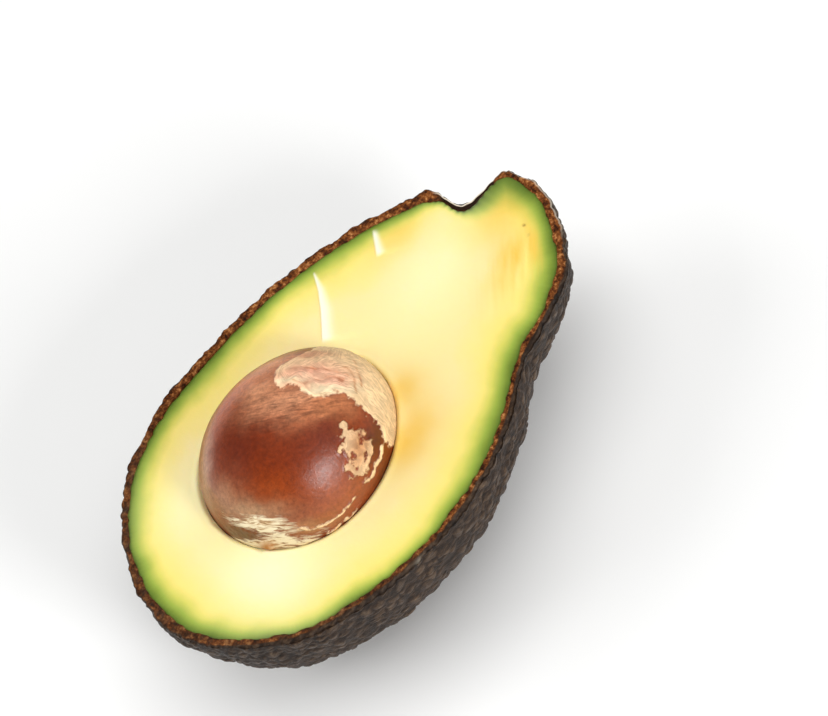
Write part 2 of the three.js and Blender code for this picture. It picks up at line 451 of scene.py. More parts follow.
def skin_relief(points, fine):
    """How far the rind's surface stands out from the smooth form."""
    steepness = CAD_PEBBLE_STEEPNESS * nearest_pebbles(points, CAD_PEBBLE_SPACING)[0] ** 2
    broad = np.maximum(0, 1 - steepness) - CAD_PEBBLE_MIDDLE
    lump = np.maximum(0, 1 - nearest_pebbles(points, LUMP_SPACING)[0] ** 2) - LUMP_MIDDLE
    fade = smoothstep(points[:, 2], 0, SMOOTH_BELLY_DEPTH)
    uneven = 0.8 + 0.35 * rough_noise(points, 5.0)
    relief = CAD_PEBBLE_SHARE * broad * CAD_PEBBLE_HEIGHT + lump * LUMP_HEIGHT
    relief += (fine - PEBBLE_MIDDLE) * PEBBLE_HEIGHT * uneven
    relief += 0.13 * rough_noise(points * [0.5, 1, 1], 1.1)
    return relief * fade


def blob(points, middle, reach):
    """1 at a place of the cut face, fading out over a reach along X and Y."""
    offset = (points[:, :2] - middle) / reach
    return np.exp(-np.sum(offset**2, axis=1))


def notch_share(points):
    """1 in the stalk's dimple, 0 away from it."""
    return smoothstep(dimple_sink(points), 0.6, 3.0)


def lip_share(points):
    """1 on the curled lip beside the dimple, 0 away from it."""
    return blob(points, LIP_SPOT, LIP_SIZE)


def rim_thickness(points):
    """Width of the cut band: thin in the dimple, thick at the lip, and uneven elsewhere."""
    uneven = 1 + 0.14 * soft_noise(points, 6.0)
    thinner = np.maximum(0.9 * notch_share(points), 0.6 * blob(points, (52.0, 0.0), (5.0, 6.0)))
    thicker = 0.4 * lip_share(points) + 0.5 * blob(points, (44.0, -18.0), (9.0, 7.0))
    return SKIN_THICKNESS * uneven - thinner + thicker


def worn_edge(points):
    """Share of the cut band, from outside, that dark peel covers: more on the near side."""
    near_side = smoothstep(-points[:, 1], 4, 22) * smoothstep(-points[:, 0], -46, -30)
    return np.clip(0.14 + 0.36 * near_side + 0.14 * rough_noise(points, 2.6), 0.05, 0.8)


print("rind", SKIN_THICKNESS, "mm thick, pebbles about", PEBBLE_SPACING, "mm apart")

# %% Rind mesh
RIM_STEPS = [0.04, 0.12, 0.2, 0.29, 0.38, 0.47, 0.56, 0.65, 0.74, 0.83, 0.92, 1.0]
WALL_DROP = 1.1
INNER_DROP = 2.0


def make_skin(material):
    """The rind: pebbled outside, rough cut band, and a plain inside that the flesh covers."""
    directions, outside = ring_directions(SKIN_RINGS, -1)
    smooth = body_points(directions)
    fine = pebble_height(smooth)
    relief = skin_relief(smooth, fine)
    rim_count = 4 * SKIN_RINGS
    rim_directions, rim_smooth = directions[:rim_count], smooth[:rim_count]
    thickness, worn = rim_thickness(rim_smooth), worn_edge(rim_smooth)
    horn = 0.4 * smoothstep(rim_smooth[:, 0], 46, 50)
    bevel = 0.25 + 0.9 * worn
    blocks = [inset_points(directions, -relief)]
    blocks[0][:rim_count, 2] -= bevel
    plain = np.zeros(len(smooth))
    marks = {"height": [fine], "cut": [plain], "pale": [plain], "shade": [plain]}
    faces, row = [outside], np.arange(rim_count)
    for part in RIM_STEPS:
        points = inset_points(rim_directions, part * thickness - (1 - part) * relief[:rim_count])
        ragged = 0.45 * rough_noise(points, 1.3) * smoothstep(part, 0.5, 1.0)
        points += body_normals(rim_directions) * ragged[:, None]
        points[:, 2] -= bevel * (1 - np.clip(part / worn, 0, 1)) ** 2
        dome = math.sin(math.pi * min(part, 0.98)) ** 0.5
        fibres = 0.24 * rough_noise(points * [1, 1, 3], 0.9) + 0.10 * soft_noise(points, 2.4)
        points[:, 2] += dome * (0.14 + fibres) + 0.75 * lip_share(points) * dome
        new_row = add_points(blocks, points)
        faces.append(ring_strip(row, new_row))
        row = new_row
        rusty = 1 - 0.75 * smoothstep(-points[:, 0], 8, 34) * (0.7 + 0.8 * rough_noise(points, 2.0))
        nick = blob(points, NICK_SPOT, (1.2, 0.7)) * (part < 0.5)
        # A pale line along the outer part of the cut band, in the dimple and on the horn, is a painted
        # highlight of the edge. The nick is a real pale scrape.
        painted_edge_highlight = notch_share(rim_smooth) * (0.03 < part < 0.44) + horn * (0.06 < part < 0.25)
        marks["height"].append(0.5 + 0.5 * rough_noise(points, 0.8))
        marks["cut"].append(smoothstep(part - worn, -0.08, 0.06) * np.clip(rusty, 0, 1))
        marks["pale"].append(np.clip(painted_edge_highlight + 0.7 * nick, 0, 1))
        marks["shade"].append(notch_share(rim_smooth) * (part > 0.4))
    wall_row = add_points(blocks, blocks[-1] - [0, 0, WALL_DROP])
    inner_directions, inside = ring_directions(SKIN_RINGS // 4, -1)
    inner = inset_points(inner_directions, SKIN_THICKNESS)
    inner[:, 2] -= INNER_DROP * (inner[:, 2] / CUT_HEIGHT) ** 4
    inner_row = add_points(blocks, inner)
    faces += [ring_strip(row, wall_row), coarse_strip(wall_row, inner_row[:SKIN_RINGS]), inner_row[inside]]
    for name, hidden in (("height", 0), ("cut", 1), ("pale", 0), ("shade", 0)):
        marks[name] = np.concatenate(marks[name] + [np.full(rim_count + len(inner), hidden)])
    build_piece("rind", np.vstack(blocks), faces, marks, material, "skin")


# %% [markdown]
# Avocado skin that has ripened is a very dark purple brown with a thin natural wax on it. The wax gives
# broad, soft highlights, so the roughness is middling, with a little more gloss on the pebble tops.
# The cut band is dry fibre with no wax: rougher, reddish, and broken up at about a millimetre.

# %% Rind material: waxed leathery peel
FINE_GRAIN = 1 / 0.0007
FIBRE_GRAIN = 1 / 0.0011
PATCH_GRAIN = 1 / 0.011
PEEL_COLOURS = ((0.1, "#17100a"), (0.4, "#382b21"), (0.75, "#5e4e3e"), (1.0, "#8a7a65"))
PEEL_BROWN, PEEL_PURPLE = "#e0c8ae", "#b3a59f"
BAND_COLOURS = ((0.34, "#210e06"), (0.45, "#52290f"), (0.55, "#854c22"), (0.66, "#c08650"))
# pale: a painted highlight along the cut edge, and a pale nick; shade: painted shade in the dimple
RIND_MARKS = (("pale", "#e8dcc6"), ("shade", "#24140a"))


def rind_material():
    """Dark waxed peel, and the dry fibre of the cut band."""
    material, tree = new_material("waxed avocado peel")
    place = put(tree, COORDINATES)
    marks = {name: put(tree, MARK, attribute_name=name) for name in ("height", "cut", "pale", "shade")}
    streak = put(tree, MAPPING, {"Vector": place, "Scale": (0.4, 1.0, 1.0)})
    grain = put(tree, NOISE, {"Vector": streak, "Scale": FINE_GRAIN, "Detail": 5.0, "Roughness": 0.65})
    patch = put(tree, NOISE, {"Vector": place, "Scale": PATCH_GRAIN, "Detail": 3.0})
    tone = put(tree, MATH, {0: grain, 1: 1.5, 2: -0.5}, operation="MULTIPLY_ADD")
    # The pebble height makes the tops lighter and the creases darker: painted light on the tops and painted
    # shade in the creases.
    tone = put(tree, MATH, {0: marks["height"], 1: 0.38, 2: tone}, operation="MULTIPLY_ADD")
    peel = put(tree, RAMP, {"Fac": tone}, stops=PEEL_COLOURS)
    purple = put(tree, RANGE, {"Value": patch, "From Min": 0.42, "From Max": 0.62})
    tint = put(tree, MIX, {FACTOR: purple, A: linear(PEEL_BROWN), B: linear(PEEL_PURPLE)}, **BLENDED)
    peel = put(tree, MIX, {FACTOR: 0.6, A: peel, B: tint}, **TINTED)
    fibre = put(tree, NOISE, {"Vector": place, "Scale": FIBRE_GRAIN, "Detail": 5.0, "Roughness": 0.7})
    band = put(tree, RAMP, {"Fac": fibre}, stops=BAND_COLOURS)
    colour = put(tree, MIX, {FACTOR: marks["cut"], A: peel, B: band}, **BLENDED)
    for name, hue in RIND_MARKS:
        colour = put(tree, MIX, {FACTOR: marks[name], A: colour, B: linear(hue)}, **BLENDED)
    waxy = put(tree, RANGE, {"Value": marks["height"], "To Min": 0.6, "To Max": 0.42})
    rough = put(tree, MIX, {0: marks["cut"], 2: waxy, 3: 0.75}, out=0)
    bump = put(tree, BUMP, {"Strength": 0.9, "Distance": 0.0004, "Height": grain})
    surface = put(tree, SURFACE, {"Base Color": colour, "Roughness": rough, "Normal": bump,
                                  "IOR": 1.4, "Specular IOR Level": 0.35})
    put(tree, OUTPUT, {"Surface": surface})
    return material


make_skin(rind_material())

# %% [markdown]
# Ripe flesh is soft and a little moist. The cut is nearly flat, but the knife leaves low ripples and
# ridges, and the flesh rounds over into the socket where the seed presses. Cutting a solid with a Boolean
# would give flat, sharp results, so the cut face is a net of rows from the rind to the seed instead, and
# its height is free to follow the marks. Colour follows how deep a spot lies under the rind.

# %% Flesh shape
FLESH_DROP = 0.14
FLESH_ROWS = 132
ROW_CROWDING = 1.12  # above 1, the rows stand closer near the rind
RIND_OVERLAP = 0.38  # how far the flesh reaches under the rind's edge
HIDDEN_GAP = 0.3  # between the rind and the hidden outside of the flesh
SEED_CONTACT = 0.12
# Paths of the steps on the cut face, from the rind inwards, and the widths of their pale strips
KNIFE_STEPS = [
    ([(19.4, 22.2), (16.5, 18.9), (13.1, 15.9), (8.0, 12.0)], [0.3, 1.2, 1.9, 2.1]),
    ([(32.0, 16.7), (28.2, 13.1)], [0.9, 1.5]),
]
FOLD = (-32.9, 8.7), (-33.5, -3.2)  # a low crease beside the seed's blunt end


def distance_to_row(points, row):
    """Shortest distance from each point to a row of points."""
    best = np.full(len(points), np.inf)
    for spot in row[::3]:
        best = np.minimum(best, np.hypot(points[:, 0] - spot[0], points[:, 1] - spot[1]))
    return best


def knife_step(points, path, widths):
    """Pale strip on one side of a path where the knife left a step, and how far above it a point stands."""
    nearest, aside, width = np.full(len(points), np.inf), np.zeros(len(points)), np.ones(len(points))
    for start, end, wide, wider in zip(path[:-1], path[1:], widths[:-1], widths[1:]):
        offset, part = from_line(points[:, :2], start, end)
        distance = np.linalg.norm(offset, axis=1)
        closer = distance < nearest
        side = np.sign(offset @ [start[1] - end[1], end[0] - start[0]])
        nearest = np.where(closer, distance, nearest)
        aside = np.where(closer, side * distance, aside)
        width = np.where(closer, wide + (wider - wide) * part, width)
    first, last = np.subtract(path[1], path[0]), np.subtract(path[-1], path[-2])
    past_end = (points[:, :2] - path[-1]) @ last / np.linalg.norm(last)
    before_start = (path[0] - points[:, :2]) @ first / np.linalg.norm(first)
    edge = smoothstep(aside, -0.14, 0.14) * (1 - smoothstep(np.maximum(past_end, before_start), -0.6, 0.9))
    reach = np.maximum(aside, 0) / width
    return edge * np.exp(-(reach**3)), edge * np.exp(-((reach / 3) ** 2))


def knife_steps(points):
    """The two steps between passes of the knife, as one strip and one lift."""
    wavering = points + 0.25 * rough_noise(points, 2.0)[:, None]
    strips, lifts = zip(*[knife_step(wavering, path, widths) for path, widths in KNIFE_STEPS])
    return np.maximum(*strips), np.maximum(*lifts)


def flesh_relief(points, rind_distance, seed_distance):
    """Height marks of the cut: ripples, ridges, strands near the neck, and the lip round the seed."""
    ripples = 0.10 * soft_noise(points * [0.5, 1, 0], 9.0) + 0.05 * soft_noise(points * [0.4, 1, 0], 3.5)
    strands = 0.02 * soft_noise(points * [0.18, 1, 0], 0.9) * smoothstep(points[:, 0], 20, 40)
    ridges = 0.32 * knife_steps(points)[1]
    lip = 0.22 * np.exp(-(((seed_distance - 0.9) / 0.7) ** 2))
    fold = np.exp(-((path_distance(points[:, :2], FOLD) / 0.55) ** 2))
    rolled = -0.55 * np.exp(-((seed_distance / 0.45) ** 2))
    edge = -0.22 * np.exp(-((rind_distance / 0.5) ** 2))
    return ripples + strands + ridges + lip + rolled + edge - 0.3 * fold


# %% Socket of the seed


def seed_surface(directions, gap=0.0):
    """The smooth seed, an egg that narrows towards the neck, grown by a gap."""
    narrowed = 1 - SEED_TAPER * directions[:, :1]
    radii = SEED_RADII * np.hstack([np.ones_like(narrowed), narrowed, narrowed])
    return SEED_CENTRE + directions * (radii + gap)


def seed_section(height, count):
    """A level ring round the seed at a height, a hair outside it."""
    turns = FULL_TURN * np.arange(count) / count
    rise = (height - SEED_CENTRE[2]) / SEED_RADII[2]
    level = math.sqrt(1 - rise**2)
    widened = 1 - SEED_TAPER * np.cos(turns)
    return np.column_stack([
        SEED_CENTRE[0] + (SEED_RADII[0] * level + SEED_CONTACT) * np.cos(turns),
        SEED_CENTRE[1] + (SEED_RADII[1] * widened * level + SEED_CONTACT) * np.sin(turns),
        np.full(count, height),
    ])


print("socket at the cut:", np.ptp(seed_section(CUT_HEIGHT, 40), axis=0).round(1)[:2], "mm across")

# %% Colour marks of the flesh
# Each soft patch has its strength, its middle and its reach along X and Y
WARM_PATCHES = [
    (0.9, (-2.0, -15.5), (7.0, 4.0)), (0.6, (5.5, -8.5), (5.0, 4.0)), (0.5, (35.0, 12.0), (7.0, 4.0)),
    (0.6, (45.0, -5.0), (7.5, 6.0)), (0.5, (38.0, -12.0), (9.0, 3.0)),
]
GREEN_PATCHES = [
    (1.3, (53.0, -3.0), (6.0, 7.0)), (0.35, (42.0, -19.0), (9.0, 6.0)), (0.3, (8.0, -29.0), (18.0, 7.0)),
    (-0.40, (-20.0, -30.0), (22.0, 8.0)), (-0.85, (42.5, 5.0), (6.0, 7.0)),
    (-0.35, (-46.0, -18.0), (12.0, 12.0)),
]
# Paler flesh. The two patches beside the blunt end of the seed also paint light over the shade beside the
# seed.
PALE_AND_LIFTED_SHADE_PATCHES = [
    (0.9, (-37.0, -7.0), (8.0, 9.0)), (0.5, (30.0, 1.0), (12.0, 7.0)), (0.5, (-30.0, 16.0), (9.0, 7.0)),
]
SPECKS = [(1.0, (45.6, -9.9), (0.26, 0.26)), (0.3, (44.2, -11.9), (0.4, 0.2))]
STREAK_PATCH = (40.0, -15.0), (9.0, 6.0)


def patched(points, patches):
    """Sum of soft patches."""
    return sum(strength * blob(points, middle, reach) for strength, middle, reach in patches)


def flesh_warmth(points):
    """Where the flesh ripened deeper yellow: beside the seed towards the neck, and near the dimple."""
    along, across = points[:, :2] @ [0.83, 0.56], points[:, :2] @ [0.56, -0.83]
    streaks = rough_noise(np.column_stack([0.1 * along, across, 0 * across]), 0.9)
    warm = patched(points, WARM_PATCHES) + 0.9 * streaks * blob(points, *STREAK_PATCH)
    return np.clip(warm * (1 + 0.35 * rough_noise(points, 4.0)), 0, 1)


def green_reach(points):
    """How far the green goes in from the rind, over its usual reach."""
    uneven = 1 + 0.30 * rough_noise(points, 11.0) + 0.12 * rough_noise(points, 3.0)
    return (1 + patched(points, GREEN_PATCHES)) * uneven


print(len(WARM_PATCHES), "warm,", len(GREEN_PATCHES), "green and", len(PALE_AND_LIFTED_SHADE_PATCHES), "pale patches")

# %% Flesh mesh
SOCKET_HEIGHTS = [CUT_HEIGHT - 0.8, CUT_HEIGHT - 1.0]


def make_flesh(material):
    """The flesh: a marked cut face, the seed's socket, and a plain outside that the rind covers."""
    rim_directions = ring_directions(SKIN_RINGS, -1)[0][:4 * SKIN_RINGS]
    rim_smooth = body_points(rim_directions)
    inset = rim_thickness(rim_smooth) - RIND_OVERLAP + 0.5 * notch_share(rim_smooth)
    outline = inset_points(rim_directions, inset)
    socket = seed_section(CUT_HEIGHT - FLESH_DROP, len(outline))
    shares = np.linspace(0, 1, FLESH_ROWS) ** ROW_CROWDING
    net = np.vstack([outline + (socket - outline) * share for share in shares])
    net[:, 2] = CUT_HEIGHT - FLESH_DROP
    rind_distance = distance_to_row(net, outline)
    net[:, 2] += flesh_relief(net, rind_distance, distance_to_row(net, socket))
    blocks, rows = [net], np.arange(len(net)).reshape(FLESH_ROWS, -1)
    for height in SOCKET_HEIGHTS:
        rows = np.vstack([rows, add_points(blocks, seed_section(height, len(outline)))])
    faces = [ring_strip(upper, lower) for upper, lower in zip(rows[:-1], rows[1:])]
    bowl_directions, bowl = ring_directions(SKIN_RINGS // 4, -1)
    bowl_row = add_points(blocks, seed_surface(bowl_directions, SEED_CONTACT))
    tucked = inset_points(rim_directions, np.maximum(inset, SKIN_THICKNESS + HIDDEN_GAP))
    tucked[:, 2] -= WALL_DROP
    tucked_row = add_points(blocks, tucked)
    outer = inset_points(bowl_directions, SKIN_THICKNESS + HIDDEN_GAP)
    outer[:, 2] -= INNER_DROP * (outer[:, 2] / CUT_HEIGHT) ** 4 * smoothstep(outer[:, 2], 3, CUT_HEIGHT)
    outer_row = add_points(blocks, outer)
    faces += [coarse_strip(rows[-1], bowl_row[:SKIN_RINGS]), bowl_row[bowl]]
    faces += [ring_strip(rows[0], tucked_row), coarse_strip(tucked_row, outer_row[:SKIN_RINGS])]
    faces.append(outer_row[bowl])
    marks = {
        "rind_distance": rind_distance / green_reach(net),
        "ridge": knife_steps(net)[0],
        "warm": flesh_warmth(net) * smoothstep(rind_distance, 1.4, 5.0),
        # pale flesh, and painted light over the shade beside the blunt end of the seed
        "pale": np.clip(patched(net, PALE_AND_LIFTED_SHADE_PATCHES), 0, 1),
        "speck": np.clip(patched(net, SPECKS), 0, 1),
    }
    points = np.vstack(blocks)
    for name, values in marks.items():
        hidden = 1.0 if name == "rind_distance" else 0.0
        marks[name] = np.concatenate([values, np.full(len(points) - len(net), hidden)])
    build_piece("flesh", points, faces, marks, material, "flesh")


# %% [markdown]
# The green is strongest right under the rind, turns yellow within about five millimetres and then slowly
# cream. Light enters ripe flesh a short way before it comes out again, which softens every shadow:
# subsurface scattering gives that. The surface is a little oily, so it stays fairly smooth.

# %% Flesh material: buttery ripe pulp
MOTTLE_GRAIN = 1 / 0.006
PULP_GRAIN = 1 / 0.0009
GREEN_TO_CREAM = 12.0
FLESH_COLOURS = ((0.0, "#4c6120"), (0.07, "#6b822e"), (0.17, "#9cb048"), (0.30, "#d8d365"),
                 (0.46, "#f8e382"), (1.0, "#fce5a3"))
FLESH_MARKS = (("warm", "#f3c551"), ("pale", "#fdf8c8"), ("ridge", "#fffae0"), ("speck", "#86601c"))


def flesh_material():
    """Green, then yellow, then cream flesh, with its marks over that."""
    material, tree = new_material("buttery avocado flesh")
    place = put(tree, COORDINATES)
    marks = {name: put(tree, MARK, attribute_name=name)
             for name in ("rind_distance", "ridge", "warm", "pale", "speck")}
    mottle = put(tree, NOISE, {"Vector": place, "Scale": MOTTLE_GRAIN, "Detail": 2.0})
    pulp = put(tree, NOISE, {"Vector": place, "Scale": PULP_GRAIN, "Detail": 3.0})
    waver = put(tree, MATH, {0: mottle, 1: 1.4, 2: -0.7}, operation="MULTIPLY_ADD")
    depth = put(tree, MATH, {0: marks["rind_distance"], 1: waver}, operation="ADD")
    depth = put(tree, RANGE, {"Value": depth, "From Max": GREEN_TO_CREAM})
    colour = put(tree, RAMP, {"Fac": depth}, stops=FLESH_COLOURS)
    for name, hue in FLESH_MARKS:
        colour = put(tree, MIX, {FACTOR: marks[name], A: colour, B: linear(hue)}, **BLENDED)
    bump = put(tree, BUMP, {"Strength": 0.15, "Distance": 0.0002, "Height": pulp})
    surface = put(tree, SURFACE, {
        "Base Color": colour, "Roughness": 0.42, "Normal": bump, "IOR": 1.45,
        "Subsurface Weight": 0.35, "Subsurface Radius": (1.0, 0.7, 0.3), "Subsurface Scale": 0.003})
    put(tree, OUTPUT, {"Surface": surface})
    return material


make_flesh(flesh_material())

# %% [markdown]
# The seed is hard and egg-shaped, in a thin reddish brown coat. Where the coat has dried on the flesh it
# peels as cream paper with wavy edges, and at the blunt end it frays round a small scar. The marks are
# placed on a chart of the seed as it shows in the picture. Its middle faces the camera, and the circle of
# radius one is the seed's outline there. The chart goes on past the outline, so marks run on behind.

# %% Seed chart
SEED_RINGS = 124
SEED_MIDDLE_SEEN = np.array([-1.04, 0.56])  # middle of the part that shows, from the seed's own middle
SEED_HALF_SEEN = np.array([18.1, 18.6])
REACH_ON_CHART = 0.72  # a step in the picture is a shorter step on the chart, except at the outline


def seed_chart(directions):
    """Chart places of the seed's surface: to the right and up in the picture, 1 at the outline."""
    normals = unit(directions / SEED_RADII)
    angle = np.arccos(np.clip(normals @ VIEW_BACK, -1, 1)) / RIGHT_ANGLE
    across = np.column_stack([normals @ VIEW_RIGHT, normals @ VIEW_UP])
    return across / np.maximum(np.linalg.norm(across, axis=1), 1e-9)[:, None] * angle[:, None]


def seen_surface(aside, above):
    """Where a line of sight meets the untapered seed, and how far outside its outline the line passes."""
    flat = aside[:, None] * VIEW_RIGHT + above[:, None] * VIEW_UP
    line = VIEW_BACK / SEED_RADII
    slope = flat / SEED_RADII @ line / (line @ line)
    reach = np.sqrt(np.sum((flat / SEED_RADII) ** 2, axis=1) - slope**2 * (line @ line))
    over = np.maximum(reach, 1)
    flat, slope = flat / over[:, None], slope / over
    lift = np.sqrt(np.maximum(1 - (reach / over) ** 2, 0) / (line @ line)) - slope
    return (flat + lift[:, None] * VIEW_BACK) / SEED_RADII, over


def on_chart(places):
    """Chart places of spots read off the picture, as shares of half the seed's width and height."""
    places = np.atleast_2d(np.array(places, dtype=float))
    aside, above = (SEED_MIDDLE_SEEN + places * SEED_HALF_SEEN).T
    surface, over = seen_surface(aside, above)
    for _ in range(3):
        tapered = -SEED_TAPER * surface[:, :1] * surface * SEED_RADII * [0, 1, 1]
        surface, over = seen_surface(aside - tapered @ VIEW_RIGHT, above - tapered @ VIEW_UP)
    return seed_chart(surface) * over[:, None]


def inside_shape(chart, corners):
    """Distance into a closed shape on the chart: positive inside, negative outside."""
    corners = on_chart(corners)
    nearest = path_distance(chart, np.vstack([corners, corners[:1]]))
    inside = np.zeros(len(chart), dtype=bool)
    for start, end in zip(corners, np.roll(corners, -1, axis=0)):
        crosses = (start[1] > chart[:, 1]) != (end[1] > chart[:, 1])
        slope = (chart[:, 1] - start[1]) / (end[1] - start[1] + 1e-12)
        inside ^= crosses & (chart[:, 0] < start[0] + slope * (end[0] - start[0]))
    return np.where(inside, nearest, -nearest)


def chart_blob(chart, middle, reach):
    """1 at a spot of the picture, fading out over a reach, as shares of half the seed."""
    offset = (chart - on_chart(middle)) / (np.array(reach) * REACH_ON_CHART)
    return np.exp(-np.sum(offset**2, axis=1))


print("middle and right edge of the picture's seed on the chart:", on_chart([(0, 0), (1, 0)]).round(2))

# %% [markdown]
# Each mark is a shape drawn on that chart. Noise then wavers its outline, because real paper
# tears unevenly. The ground colour is painted the same way: a few soft zones, one over another.

# %% Shapes of the paper
PAPER_TOP = [
    (-0.21, 0.74), (-0.18, 0.62), (-0.11, 0.59), (-0.01, 0.65), (0.11, 0.56), (0.19, 0.51), (0.28, 0.51),
    (0.42, 0.56), (0.54, 0.52), (0.69, 0.41), (0.73, 0.34), (0.81, 0.28), (0.86, 0.20), (0.89, 0.09),
    (0.93, 0.04), (1.1, 0.0), (1.4, 0.5), (1.0, 1.1), (0.3, 1.3), (0.15, 0.96), (-0.06, 0.86),
    (-0.16, 0.82),
]
PAPER_ISLAND = [
    (0.46, 0.20), (0.54, 0.23), (0.65, 0.20), (0.67, 0.14), (0.77, 0.09), (0.76, 0.0), (0.72, -0.10),
    (0.71, -0.21), (0.65, -0.23), (0.64, -0.12), (0.54, -0.15), (0.48, -0.11), (0.50, 0.0), (0.44, 0.02),
    (0.52, 0.07),
]
LOOSE_FLAKE = [(0.30, -0.82), (0.33, -0.79), (0.42, -0.77), (0.43, -0.81), (0.36, -0.84)]
FRAYED_END = [
    (-0.70, -0.68), (-0.52, -0.69), (-0.34, -0.68), (-0.24, -0.72), (-0.09, -0.77), (0.04, -0.84),
    (0.22, -0.84), (0.30, -0.83), (0.10, -0.97), (0.0, -1.2), (-0.5, -1.2), (-0.60, -0.91), (-0.68, -0.80),
]
# Thin flakes, each with half its width
THIN_FLAKES = [
    ([(0.87, 0.02), (0.86, -0.08), (0.80, -0.15), (0.77, -0.25), (0.70, -0.32)], 0.013),
    ([(0.60, -0.47), (0.52, -0.56), (0.44, -0.63), (0.31, -0.71), (0.20, -0.75), (0.05, -0.76)], 0.008),
    ([(0.66, -0.52), (0.56, -0.64), (0.44, -0.73), (0.36, -0.80)], 0.008),
]
# Cracks in the paper, which show pink
PAPER_CRACKS = [
    [(0.50, 0.80), (0.56, 0.74), (0.60, 0.64), (0.62, 0.55)],
    [(0.57, 0.86), (0.63, 0.72), (0.66, 0.62)],
    [(-0.10, 0.69), (0.10, 0.66), (0.30, 0.70), (0.48, 0.68)],
    [(-0.02, 0.78), (0.16, 0.80), (0.36, 0.77), (0.52, 0.72)],
]
print(len(THIN_FLAKES), "thin flakes, and", len(PAPER_CRACKS), "cracks in the paper")

# %% Colours of the seed
# Soft spots: middle, and reach to the side and up
SCAR = (-0.27, -0.93), (0.10, 0.10)
# the wrinkled band, where the painted reflection of the overhead light also lies
WRINKLES_AND_SHEEN = (0.00, 0.47), (0.54, 0.19)
BARE_HOLLOW = (-0.53, -0.82), (0.28, 0.12)
THICK_TUFT = (-0.34, -0.71), (0.26, 0.07)
WAVER = 0.022  # how far noise shifts the marks
CRACK_WIDTH = 0.011
CRACK_FADE = [0.35, 0.55, 0.65, 0]  # how much of red, green, blue and alpha a crack takes away
GROUND = "#83330b"
# Zones of the coat's colour: middle, reach to the side and up, colour. Some of them are painted light, as
# marked below.
COAT_AND_SHEEN_ZONES = [
    ((-0.50, 0.10), (0.38, 0.34), "#651f02"),
    ((0.0, -0.10), (0.30, 0.26), "#742702"),
    ((-0.74, 0.40), (0.16, 0.22), "#a84a14"),
    ((-0.52, 0.66), (0.26, 0.16), "#c4692c"),
    ((-0.90, 0.10), (0.10, 0.34), "#ad6a3c"),
    # tan zones across the top: dry peel, and also a painted reflection of the overhead light
    ((-0.24, 0.84), (0.30, 0.16), "#d38b58"),
    ((-0.34, 0.60), (0.20, 0.13), "#cf8d66"),
    ((0.00, 0.51), (0.44, 0.15), "#c18561"),
    ((0.36, 0.40), (0.26, 0.13), "#b8734b"),
    ((0.30, 0.15), (0.18, 0.14), "#6f2c18"),
    ((0.45, -0.45), (0.34, 0.26), "#9f5029"),
    ((-0.15, -0.42), (0.26, 0.16), "#8f3a0c"),
    # lighter mauve zones along the left edge and lower left: a dusty coat, and also a painted sheen
    ((-0.90, -0.24), (0.12, 0.32), "#b0836c"),
    ((-0.72, -0.46), (0.22, 0.18), "#a5704f"),
    ((-0.45, -0.60), (0.36, 0.12), "#b08662"),
    ((0.16, -0.74), (0.30, 0.10), "#a9714a"),
    ((-0.53, -0.82), (0.30, 0.13), "#664528"),
    ((0.88, -0.30), (0.12, 0.30), "#6e2e0a"),
    ((0.80, 0.10), (0.12, 0.18), "#5e260a"),
]
# Zones of the paper's colour, over cream
PAPER_GROUND = "#edcb9c"
PAPER_ZONES = [
    ((0.14, 0.74), (0.42, 0.14), "#eaa98a"),
    ((0.38, 0.66), (0.22, 0.08), "#ecb596"),
    ((0.02, 0.91), (0.44, 0.09), "#cf9470"),
    ((0.62, 0.02), (0.22, 0.28), "#d8ae84"),
    ((0.66, 0.05), (0.09, 0.18), "#b98458"),
    ((-0.06, 0.68), (0.20, 0.04), "#f3dcb4"),
    ((0.30, 0.58), (0.34, 0.04), "#f3dcb4"),
]


def painted(chart, ground, zones):
    """Linear colours of each place: the ground colour with soft zones over it."""
    colour = np.tile(np.array(linear(ground)), (len(chart), 1))
    for middle, reach, hue in zones:
        share = chart_blob(chart, middle, reach)[:, None]
        colour = colour * (1 - share) + np.array(linear(hue)) * share
    return colour


print(len(COAT_AND_SHEEN_ZONES), "zones on the coat,", len(PAPER_ZONES), "on the paper")

# %% Seed mesh


